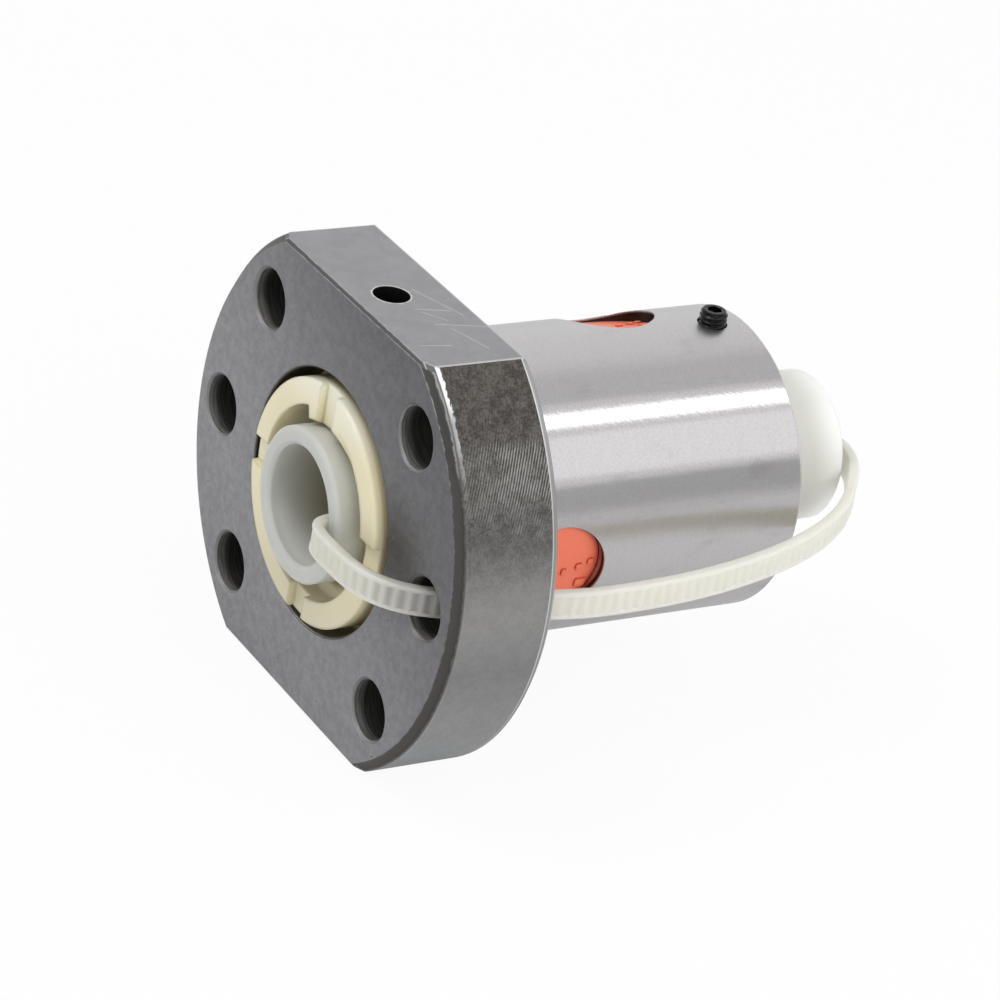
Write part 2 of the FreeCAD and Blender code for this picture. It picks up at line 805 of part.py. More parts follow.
def check_document(pieces):
    """Stop if any object failed, or any piece is empty or not a sound solid."""
    for item in doc.Objects:
        if "Invalid" in item.State or "Error" in item.State:
            raise RuntimeError(f"{item.Name} failed: {item.State}")
    for piece in pieces:
        shape = piece.Shape
        if shape.isNull() or not shape.isValid() or not shape.Solids:
            raise RuntimeError(f"{piece.Label} has no sound solid")


about_face = Placement(
    Vector(0, (body_length + front_face).number, 0),
    Rotation(Vector(0, 0, 1), HALF_TURN),
)
pieces = [
    make_nut_body(),
    make_wiper("front_wiper", Placement(), bitten=False),
    make_wiper("rear_wiper", about_face, bitten=True),
    make_set_screw(),
    make_sleeve(),
    make_cable_tie(),
]
pieces += make_deflectors()
pieces += make_balls()
doc.recompute()
check_document(pieces)

os.makedirs("parts", exist_ok=True)
for piece in pieces:
    piece.Shape.exportStep(f"parts/{piece.Label}.step")
    box = piece.Shape.BoundBox
    print(f"{piece.Label}: {len(piece.Shape.Solids)} solid, {piece.Shape.Volume:.1f} mm3, "
          f"x {box.XMin:.2f} to {box.XMax:.2f}, y {box.YMin:.2f} to {box.YMax:.2f}, "
          f"z {box.ZMin:.2f} to {box.ZMax:.2f}")
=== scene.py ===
import math
import bpy
import numpy as np
from mathutils import Matrix, Vector


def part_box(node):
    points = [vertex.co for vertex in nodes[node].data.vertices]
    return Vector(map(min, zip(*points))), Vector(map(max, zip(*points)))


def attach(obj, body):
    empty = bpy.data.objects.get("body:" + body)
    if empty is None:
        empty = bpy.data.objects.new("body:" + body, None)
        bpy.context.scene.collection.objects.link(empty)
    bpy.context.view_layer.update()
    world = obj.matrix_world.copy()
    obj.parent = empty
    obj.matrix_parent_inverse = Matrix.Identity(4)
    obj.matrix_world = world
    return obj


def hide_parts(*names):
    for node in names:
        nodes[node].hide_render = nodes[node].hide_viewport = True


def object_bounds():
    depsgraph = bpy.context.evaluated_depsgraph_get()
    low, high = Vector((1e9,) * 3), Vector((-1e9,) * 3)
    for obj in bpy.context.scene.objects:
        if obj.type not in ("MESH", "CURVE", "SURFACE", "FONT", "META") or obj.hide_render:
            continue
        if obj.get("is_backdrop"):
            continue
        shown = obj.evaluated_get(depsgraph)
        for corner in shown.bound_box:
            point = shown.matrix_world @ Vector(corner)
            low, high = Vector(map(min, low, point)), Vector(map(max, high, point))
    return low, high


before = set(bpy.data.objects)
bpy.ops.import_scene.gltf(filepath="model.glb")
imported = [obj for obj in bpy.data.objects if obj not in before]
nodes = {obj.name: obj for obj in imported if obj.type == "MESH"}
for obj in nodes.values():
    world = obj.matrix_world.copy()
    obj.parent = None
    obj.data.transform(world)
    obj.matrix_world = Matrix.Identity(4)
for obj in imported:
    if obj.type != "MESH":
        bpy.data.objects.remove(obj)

cad_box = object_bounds()

# Sizes in metres, in the frame of the part: Y is the screw axis, Z is square to the flats.
MM = 0.001
nut_low, nut_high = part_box("nut_body")
FLANGE_RADIUS = nut_high.x
FLAT_HEIGHT = nut_high.z
FRONT_FACE = nut_low.y
BODY_REAR = nut_high.y
BODY_RADIUS = 14 * MM
SEAT_RADIUS = 12 * MM
SLEEVE_BORE_RADIUS = 5.4 * MM
BOLT_RADIUS = 19 * MM
BOLT_HOLE_RADIUS = 2.75 * MM
HOLE_MOUTH_RADIUS = 3.0 * MM
PORT_RADIUS = 1.65 * MM
PORT_STATION = -6 * MM
RIM_CHAMFER = 0.95 * MM
FLAT_CHAMFER = 0.4 * MM
BACK_CHAMFER = 0.4 * MM

# Finish of the nut: the narrow band in which a mask changes, the strips of painted highlight along the
# rim's rear and front edges, and the tool marks on the rim.
EDGE = 0.04 * MM
REAR_HIGHLIGHT_BAND = 0.7 * MM
FRONT_HIGHLIGHT_BAND = 0.3 * MM
RIM_MARK_PITCH = 0.28 * MM
RIM_MARK_SLANT = 0.36
# A faint violet cast of the ground face and the flats, as shares of red, green and blue.
VIOLET_CAST = (1.01, 0.99, 1.03, 1.0)
# Scratches on the upper flat beside the port: their width, and the x and y of both ends, in millimetres.
SCRATCH_WIDTH = 0.13
FLAT_SCRATCHES = (
    ((-0.6, -3.6), (4.9, -1.6)),
    ((3.0, -5.3), (3.9, -2.3)),
    ((3.6, -5.0), (5.6, -3.5)),
    ((6.0, -5.0), (7.3, -0.6)),
    ((7.1, -3.9), (11.1, -2.6)),
    ((9.4, -8.5), (10.0, -5.6)),
)

# Strap of the cable tie: its centre line in the plane of the bolt hole, in millimetres.
STRAP_ROUTE = (
    (4.43, 13.0), (4.43, 2.0), (4.43, -9.0), (4.55, -11.6), (5.15, -12.85), (6.6, -13.4), (9.0, -13.47),
    (11.8, -13.32), (14.5, -12.6), (16.7, -11.0), (18.45, -8.2), (20.8, 0.0), (21.6, 4.0), (21.82, 9.0),
    (21.3, 16.5), (19.75, 24.2), (17.1, 31.6), (13.4, 37.5), (8.5, 42.1), (5.5, 44.0), (2.5, 44.7),
    (-0.4, 43.9), (-1.7, 41.4), (-1.75, 36.5), (-0.9, 26.0), (0.8, 10.0),
)
STRAP_HALF_WIDTH = 1.3 * MM
STRAP_HALF_THICKNESS = 0.5 * MM
STRAP_CORNER = 0.16 * MM
STRAP_STEP = 0.08 * MM
TOOTH_PITCH = 1.12 * MM
TOOTH_DEPTH = 0.1 * MM
RAIL_WIDTH = 0.34 * MM

# Head of the cable tie, inside the sleeve: how far its corners reach from the axis, its other side, and
# where it starts along the axis.
HEAD_REACH = 5.1 * MM
HEAD_LEFT = -0.7 * MM
HEAD_START = 12 * MM
HEAD_LENGTH = 4.6 * MM
HEAD_EDGE = 0.3 * MM
HEAD_CORNER = 0.5 * MM

# Ball returns: where each insert sits, and the pads moulded on its flat top, by station and across.
RETURN_COUNT = 3
LEAD = 5 * MM
FIRST_STATION = 7.1 * MM
FIRST_ANGLE = -8.0
RETURN_STATIONS = FIRST_STATION + LEAD * (1 + 1 / RETURN_COUNT) * np.arange(RETURN_COUNT)
RETURN_ANGLES = np.radians(FIRST_ANGLE - 360.0 / RETURN_COUNT * np.arange(RETURN_COUNT))
INSERT_TOP = 12.9 * MM
PAD_PLACES = np.array(((3.84, 0.27), (2.71, -0.19), (3.3, -2.0), (1.25, -0.6))) * MM
PAD_HALF_SIZES = np.array(((0.32, 0.28), (0.3, 0.3), (0.55, 0.4), (0.25, 0.32))) * MM
PAD_CORNER = 0.1 * MM
PAD_HEIGHT = 0.18 * MM
PAD_INSET = 0.07 * MM
PAD_ROOT = 0.02 * MM

# Set screw: its axis is vertical, through this station.
SCREW_STATION = 28.8 * MM
SCREW_CHAMFER = 0.25 * MM
THREAD_PITCH = 0.45 * MM
THREAD_DEPTH = 0.2 * MM
SOCKET_HALF_WIDTH = 0.635 * MM
SOCKET_DEPTH = 1.3 * MM

# Camera: its place and axes in the part's frame, and its focal length in pixels of a picture this wide.
CAMERA_PLACE = Vector((275.07, -184.16, 169.76)) * MM
CAMERA_RIGHT = Vector((0.49726, 0.85218, 0.16283))
CAMERA_DOWN = Vector((0.47123, -0.10771, -0.87541))
CAMERA_FORWARD = Vector((-0.72847, 0.51204, -0.45513))
FOCAL_PIXELS = 4172.9
PICTURE_PIXELS = 1000

# Floor: its gap under the flange, and how far it reaches to each side.
FLOOR_GAP = 0.02 * MM
FLOOR_REACH = 3.0


class Finish:
    """One material: its node tree, and short ways to add the nodes that the finishes share."""

    def __init__(self, name):
        self.material = bpy.data.materials.new(name)
        self.material.use_nodes = True
        self.tree = self.material.node_tree
        self.shader = self.tree.nodes["Principled BSDF"]
        self.place = self.add("ShaderNodeTexCoord").outputs["Object"]

    def add(self, kind, **settings):
        """A node of this kind with these properties set."""
        node = self.tree.nodes.new(kind)
        for name, setting in settings.items():
            setattr(node, name, setting)
        return node

    def feed(self, socket, source):
        """Link a socket to another one, or set its own constant."""
        if isinstance(source, bpy.types.NodeSocket):
            self.tree.links.new(source, socket)
        else:
            socket.default_value = source

    def set(self, **sources):
        """Feed the shader's sockets, named with underscores for spaces."""
        for name, source in sources.items():
            self.feed(self.shader.inputs[name.replace("_", " ")], source)

    def sum(self, operation, *terms):
        """A math node's result."""
        node = self.add("ShaderNodeMath", operation=operation)
        for socket, term in zip(node.inputs, terms):
            self.feed(socket, term)
        return node.outputs[0]

    def axes(self):
        """The three object coordinates."""
        split = self.add("ShaderNodeSeparateXYZ")
        self.feed(split.inputs[0], self.place)
        return split.outputs

    def joined(self, *terms):
        """A vector of three numbers."""
        node = self.add("ShaderNodeCombineXYZ")
        for socket, term in zip(node.inputs, terms):
            self.feed(socket, term)
        return node.outputs[0]

    def step(self, value, low, high):
        """0 below low, 1 above high and a smooth rise between them."""
        node = self.add("ShaderNodeMapRange", interpolation_type="SMOOTHSTEP")
        for name, source in (("Value", value), ("From Min", low), ("From Max", high)):
            self.feed(node.inputs[name], source)
        return node.outputs["Result"]

    def spread(self, value, low, high):
        """A 0 to 1 value carried to low to high."""
        node = self.add("ShaderNodeMapRange")
        for name, source in (("Value", value), ("To Min", low), ("To Max", high)):
            self.feed(node.inputs[name], source)
        return node.outputs["Result"]

    def noise(self, scale, detail=3.0, stretch=(1.0, 1.0, 1.0), place=None, roughness=0.55):
        """Fractal noise over the object coordinates, or over a place of its own."""
        mapping = self.add("ShaderNodeMapping")
        self.feed(mapping.inputs["Vector"], place or self.place)
        self.feed(mapping.inputs["Scale"], stretch)
        node = self.add("ShaderNodeTexNoise")
        self.feed(node.inputs["Vector"], mapping.outputs[0])
        self.feed(node.inputs["Scale"], scale)
        self.feed(node.inputs["Detail"], detail)
        self.feed(node.inputs["Roughness"], roughness)
        return node.outputs["Fac"]

    def blend(self, factor, first, second, kind="MIX"):
        """Two colours mixed by a factor."""
        node = self.add("ShaderNodeMix", data_type="RGBA", blend_type=kind)
        self.feed(node.inputs[0], factor)
        self.feed(node.inputs[6], first)
        self.feed(node.inputs[7], second)
        return node.outputs[2]

    def bump(self, height, distance, strength=1.0, under=None):
        """A normal from a height of this depth, over another normal if one is given."""
        node = self.add("ShaderNodeBump")
        self.feed(node.inputs["Height"], height)
        self.feed(node.inputs["Distance"], distance)
        self.feed(node.inputs["Strength"], strength)
        if under is not None:
            self.feed(node.inputs["Normal"], under)
        return node.outputs["Normal"]

    def soft_edges(self, radius):
        """The normal with edges rounded to this radius."""
        node = self.add("ShaderNodeBevel")
        node.samples = 6
        node.inputs["Radius"].default_value = radius
        return node.outputs["Normal"]

    def ramp(self, value, *stops):
        """A colour read off a row of stops, each a place from 0 to 1 and a colour."""
        node = self.add("ShaderNodeValToRGB")
        self.feed(node.inputs[0], value)
        elements = node.color_ramp.elements
        while len(elements) < len(stops):
            elements.new(1.0)
        for element, (place, colour) in zip(elements, stops):
            element.position = place
            element.color = colour
        return node.outputs["Color"]

    def vector(self, operation, *terms):
        """A vector math node's results, the vector first and the number last."""
        node = self.add("ShaderNodeVectorMath", operation=operation)
        for socket, term in zip(node.inputs, terms):
            self.feed(socket, term)
        return node.outputs

    def near_line(self, place, start, end, width):
        """1 on the line between two points and 0 beyond half its width.

        The place along the line is the dot product with its direction over its length squared, held
        between the ends, and the distance is taken from there.
        """
        start, end = Vector(start), Vector(end)
        run = end - start
        from_start = self.vector("SUBTRACT", place, start)["Vector"]
        share = self.vector("DOT_PRODUCT", from_start, run / run.length_squared)["Value"]
        held = self.sum("MINIMUM", self.sum("MAXIMUM", share, 0.0), 1.0)
        walked = self.vector("MULTIPLY", self.joined(held, held, held), run)["Vector"]
        distance = self.vector("DISTANCE", from_start, walked)["Value"]
        return self.step(distance, width / 2, width / 5)


def grey(level, warm=0.0):
    """A nearly neutral colour, warmer or cooler by a small share."""
    return (level * (1 + warm), level, level * (1 - warm), 1.0)


def bolt_hole_distance(steel, x, z):
    """Distance to the axis of the nearest bolt hole, folded into the first quarter of the flange."""
    folded = steel.joined(steel.sum("ABSOLUTE", x), steel.sum("ABSOLUTE", z), 0.0)
    half_way = BOLT_RADIUS * math.sqrt(0.5)
    side_hole = steel.vector("DISTANCE", folded, (BOLT_RADIUS, 0.0, 0.0))["Value"]
    corner_hole = steel.vector("DISTANCE", folded, (half_way, half_way, 0.0))["Value"]
    return steel.sum("MINIMUM", side_hole, corner_hole)


def rim_finish(steel, y, z, angle, radius):
    """Tone and height of the turned rim.

    The tone follows height: it is lifted low down as painted reflection, and it is darker towards the top,
    where it is also stained. Short tool marks with bright ridges cross the upper part at a slant. Painted
    highlights lie along the rear edge and the upper front edge.
    """
    walk = steel.sum("MULTIPLY", angle, FLANGE_RADIUS)
    around = steel.joined(walk, y, radius)
    slanted = steel.sum("MULTIPLY_ADD", walk, -RIM_MARK_SLANT, y)
    wander = steel.noise(240.0, detail=3.0, place=around)
    turns = steel.sum("MULTIPLY", slanted, 2 * math.pi / RIM_MARK_PITCH)
    phase = steel.sum("MULTIPLY_ADD", wander, 5.0, turns)
    groove = steel.sum("MULTIPLY_ADD", steel.sum("SINE", phase), 0.5, 0.5)
    along = steel.joined(walk, slanted, radius)
    broken = steel.noise(2600.0, detail=5.0, stretch=(0.55, 1.0, 1.0), place=along, roughness=0.65)
    stain = steel.noise(1100.0, detail=8.0, roughness=0.75, place=around)
    patch = steel.noise(420.0, detail=3.0, place=around)
    grit = steel.noise(4800.0, detail=2.0, place=around)

    # Painted reflection: the tone is read off height, in light and dark bands, lifted low down.
    raised = steel.sum("MULTIPLY_ADD", z, 0.5 / FLAT_HEIGHT, 0.5)
    tone = steel.ramp(
        raised, (0.0, grey(0.29, -0.02)), (0.12, grey(0.38, -0.02)), (0.26, grey(0.35)), (0.39, grey(0.27)),
        (0.51, grey(0.32, 0.01)), (0.59, grey(0.295, 0.02)), (0.70, grey(0.195, 0.03)),
        (0.78, grey(0.19, 0.05)), (0.91, grey(0.112, 0.08)), (1.0, grey(0.122, 0.09)),
    )
    upper = steel.spread(steel.step(z, 2 * MM, 12 * MM), 0.2, 1.0)
    stained = steel.sum("MULTIPLY", upper, steel.step(stain, 0.60, 0.40))
    tone = steel.blend(stained, tone, grey(0.60, 0.02), "MULTIPLY")
    gritty = steel.sum("MULTIPLY", upper, steel.step(grit, 0.58, 0.40))
    tone = steel.blend(gritty, tone, grey(0.66), "MULTIPLY")

    mark = steel.sum("MULTIPLY_ADD", groove, 0.38, steel.sum("MULTIPLY", broken, 0.62))
    swayed = steel.sum("MULTIPLY_ADD", steel.sum("SUBTRACT", patch, 0.5), 12 * MM, z)
    above = steel.step(swayed, 8.5 * MM, 11.5 * MM)
    below = steel.step(swayed, 16 * MM, 12.5 * MM)
    rearward = steel.spread(steel.step(y, -8.5 * MM, -4 * MM), 0.35, 1.0)
    shown = steel.sum("MULTIPLY", steel.sum("MULTIPLY", above, below), rearward)
    shown = steel.spread(shown, 0.02, 1.0)
    furrow = steel.sum("MULTIPLY", shown, steel.step(mark, 0.50, 0.34))
    ridge = steel.sum("MULTIPLY", shown, steel.step(mark, 0.48, 0.66))
    tone = steel.blend(furrow, tone, grey(0.72), "MULTIPLY")
    tone = steel.blend(steel.sum("MULTIPLY", ridge, 0.5), tone, grey(0.52, 0.02))

    # Painted highlight: a bright strip along the upper front edge, brightest at the top.
    depth = steel.sum("SUBTRACT", y, FRONT_FACE)
    reach = steel.sum("MULTIPLY_ADD", steel.sum("SUBTRACT", broken, 0.5), 0.9 * MM, depth)
    front_highlight = steel.step(reach, RIM_CHAMFER + FRONT_HIGHLIGHT_BAND, RIM_CHAMFER + FRONT_HIGHLIGHT_BAND - 0.12 * MM)
    front_highlight = steel.sum("MULTIPLY", front_highlight, steel.step(swayed, 11.5 * MM, 16 * MM))
    front_highlight_tone = steel.blend(steel.step(z, 16.5 * MM, 18.5 * MM), grey(0.40), grey(0.88))
    tone = steel.blend(front_highlight, tone, front_highlight_tone)

    # Painted highlight: a bright line along the rear edge, then a lighter band of painted reflection.
    rear_highlight = steel.step(y, -REAR_HIGHLIGHT_BAND - EDGE, -REAR_HIGHLIGHT_BAND)
    past_line = steel.step(y, -REAR_HIGHLIGHT_BAND + 2 * EDGE, -REAR_HIGHLIGHT_BAND + 3 * EDGE)
    tone = steel.blend(rear_highlight, tone, steel.blend(past_line, grey(0.60), grey(0.33)))
    return tone, steel.sum("MULTIPLY_ADD", steel.sum("MULTIPLY", mark, shown), 0.6, stain)


def flat_finish(steel, x, y, cloud):
    """Tone of the milled flats, with bright scratches, an uneven bright ring round the port and painted
    edge highlights.
    """
    tone = steel.blend(1.0, steel.blend(cloud, grey(0.30), grey(0.345)), VIOLET_CAST, "MULTIPLY")
    tone = steel.blend(steel.step(steel.noise(620.0, detail=6.0), 0.62, 0.38), tone, grey(0.93), "MULTIPLY")
    place = steel.joined(steel.sum("MULTIPLY", x, 1 / MM), steel.sum("MULTIPLY", y, 1 / MM), 0.0)
    marks = 0.0
    for start, end in FLAT_SCRATCHES:
        scratch = steel.near_line(place, (*start, 0.0), (*end, 0.0), SCRATCH_WIDTH)
        marks = steel.sum("MAXIMUM", marks, scratch)
    uneven = steel.spread(steel.noise(700.0, detail=2.0), 0.2, 1.0)
    tone = steel.blend(steel.sum("MULTIPLY", marks, uneven), tone, grey(0.66))
    port = steel.vector("DISTANCE", steel.joined(x, y, 0.0), (0.0, PORT_STATION, 0.0))["Value"]
    ragged = steel.sum("MULTIPLY_ADD", steel.noise(2600.0, detail=3.0), 0.5 * MM, -0.25 * MM)
    port_bright_ring = steel.step(steel.sum("ADD", port, ragged), PORT_RADIUS + 0.22 * MM, PORT_RADIUS + 0.1 * MM)
    tone = steel.blend(port_bright_ring, tone, grey(0.6, 0.02))
    # Painted highlights: bright lines along the flats' side and rear edges.
    corner = math.sqrt(FLANGE_RADIUS ** 2 - FLAT_HEIGHT ** 2)
    side_line = steel.step(steel.sum("ABSOLUTE", x), corner - 3 * EDGE, corner - 2 * EDGE)
    rear_line = steel.step(y, -BACK_CHAMFER - 4 * EDGE, -BACK_CHAMFER - 2 * EDGE)
    return steel.blend(steel.sum("MAXIMUM", side_line, rear_line), tone, grey(0.52)), port


def face_finish(steel, y, cloud):
    """Tone of the ground face.

    It is painted darker towards the upper right as shade, and it is cloudy, with hairline scratches and
    small pits. Beside the seat, on the right, lies a darker patch of painted shade from the wiper and
    strap.
    """
    # Painted shade: the tone darkens towards the upper right.
    shade_slope = steel.vector("DOT_PRODUCT", steel.place, (-0.6, 0.0, -0.8))["Value"]
    tone = steel.blend(steel.step(shade_slope, -24 * MM, 11 * MM), grey(0.18, -0.015), grey(0.35, -0.008))
    # Painted shade: a darker patch beside the seat on the right, by the wiper and strap.
    painted_shade_patch = steel.vector("DISTANCE", steel.place, (12.5 * MM, FRONT_FACE, 2 * MM))["Value"]
    tone = steel.blend(steel.step(painted_shade_patch, 8 * MM, 1 * MM), tone, grey(0.55, 0.03), "MULTIPLY")
    tone = steel.blend(cloud, tone, grey(0.84), "MULTIPLY")
    scuff = steel.noise(900.0, detail=8.0, roughness=0.75)
    tone = steel.blend(steel.step(scuff, 0.62, 0.38), tone, grey(0.80), "MULTIPLY")
    along = steel.vector("DOT_PRODUCT", steel.place, (0.6, 0.0, 0.8))["Value"]
    across = steel.vector("DOT_PRODUCT", steel.place, (-0.8, 0.0, 0.6))["Value"]
    hair = steel.noise(5200.0, detail=3.0, stretch=(0.05, 1.0, 1.0), place=steel.joined(along, across, y))
    tone = steel.blend(steel.sum("MULTIPLY", steel.step(hair, 0.60, 0.78), 0.3), tone, grey(0.36))
    pits = steel.step(steel.noise(900.0, detail=3.0, roughness=0.7), 0.69, 0.73)
    tone = steel.blend(1.0, tone, VIOLET_CAST, "MULTIPLY")
    return steel.blend(pits, tone, grey(0.05)), pits


def front_edge_finish(steel, x, depth, z, raised):
    """Tone of the broken edge round the front face.

    Along the rim it is a dark band; towards the top on the right it has painted highlights, bright lines
    and a bright outer side. Along the flats it is a narrow dark strip between two painted highlight lines.
    """
    ragged = steel.sum("MULTIPLY", steel.sum("SUBTRACT", steel.noise(1300.0, detail=4.0), 0.5), 0.30)
    rim_share = steel.sum("ADD", steel.sum("DIVIDE", depth, RIM_CHAMFER), ragged)
    flat_share = steel.sum("ADD", steel.sum("DIVIDE", depth, FLAT_CHAMFER), ragged)
    # Painted highlights: the bright lines and bright outer side of the rim's chamfer towards the top.
    worn = steel.ramp(
        rim_share, (0.0, grey(0.34)), (0.07, grey(0.26)), (0.14, grey(0.07, 0.04)),
        (0.52, grey(0.06, 0.05)), (0.64, grey(0.09, 0.02)), (0.70, grey(0.28)), (0.76, grey(0.32)),
        (0.82, grey(0.13)), (0.90, grey(0.22)), (1.0, grey(0.42)),
    )
    dull = steel.ramp(
        rim_share, (0.0, grey(0.25)), (0.07, grey(0.17)), (0.14, grey(0.085, 0.05)),
        (0.60, grey(0.075, 0.05)), (0.72, grey(0.06, 0.04)), (0.86, grey(0.13, 0.03)),
        (1.0, grey(0.15, 0.02)),
    )
    swayed = steel.sum("MULTIPLY_ADD", ragged, 30 * MM, z)
    on_right = steel.step(x, -2 * MM, 2 * MM)
    highlight_share = steel.sum("MULTIPLY", on_right, steel.step(swayed, 11 * MM, 16 * MM))
    rim_edge = steel.blend(highlight_share, dull, worn)
    # Painted highlights: two bright lines either side of a dark strip along the flats.
    flat_edge = steel.ramp(
        flat_share, (0.0, grey(0.34)), (0.16, grey(0.30)), (0.30, grey(0.09, 0.01)), (0.76, grey(0.11)),
        (0.86, grey(0.40)), (0.97, grey(0.38)), (1.0, grey(0.14)),
    )
    flat_side = steel.step(raised, FLAT_HEIGHT - FLAT_CHAMFER - EDGE, FLAT_HEIGHT - FLAT_CHAMFER)
    return steel.blend(flat_side, rim_edge, flat_edge)


def body_finish(steel, y, z, angle, radius):
    """Tone, roughness and height of the ground body.

    Faint lines run round it, with fine speckles and a few smudges, and short fine scratches lie at a
    slant over it. Its top and its lower part are duller. The walls of the windows are painted dark as
    shade, except the lower wall beside the insert at the side, which keeps the body's tone.
    """
    walk = steel.sum("MULTIPLY", angle, BODY_RADIUS)
    around = steel.joined(walk, y, radius)
    lines = steel.noise(1500.0, detail=5.0, stretch=(0.10, 2.6, 1.0), place=around)
    line_share = steel.step(lines, 0.25, 0.75)
    tone = steel.blend(line_share, (0.522, 0.510, 0.517, 1.0), (0.538, 0.526, 0.533, 1.0))
    speckle = steel.noise(5200.0, detail=2.0, place=around)
    tone = steel.blend(steel.step(speckle, 0.56, 0.36), tone, grey(0.93), "MULTIPLY")
    smudge = steel.noise(330.0, detail=4.0, stretch=(1.0, 0.6, 1.0), place=around)
    tone = steel.blend(steel.step(smudge, 0.60, 0.74), tone, grey(0.90, 0.01), "MULTIPLY")
    skin = steel.step(radius, BODY_RADIUS - 0.25 * MM, BODY_RADIUS - 0.06 * MM)
    rear_end = steel.step(y, BODY_REAR - 1.0 * MM, BODY_REAR - 0.8 * MM)
    lower_wall = steel.step(radius, BODY_RADIUS - 0.45 * MM, BODY_RADIUS - 0.65 * MM)
    by_insert = steel.sum("MULTIPLY", lower_wall, steel.step(z, 8 * MM, 6 * MM))
    shown = steel.sum("MAXIMUM", steel.sum("MAXIMUM", skin, by_insert), rear_end)
    turned = steel.joined(steel.sum("ADD", walk, y), steel.sum("SUBTRACT", walk, y), radius)
    scratches = steel.noise(1900.0, detail=3.0, stretch=(1.6, 0.5, 1.0), place=turned, roughness=0.5)
    duller = steel.sum("MAXIMUM", steel.step(z, 7 * MM, 1 * MM), steel.step(z, 11.4 * MM, 12.6 * MM))
    rough = steel.spread(duller, 0.12, 0.34)
    # Painted shade: under the skin, as on the windows' walls, the body is dark, except the rear end and the
    # wall beside the side insert.
    return steel.blend(shown, grey(0.035, 0.08), tone), rough, scratches


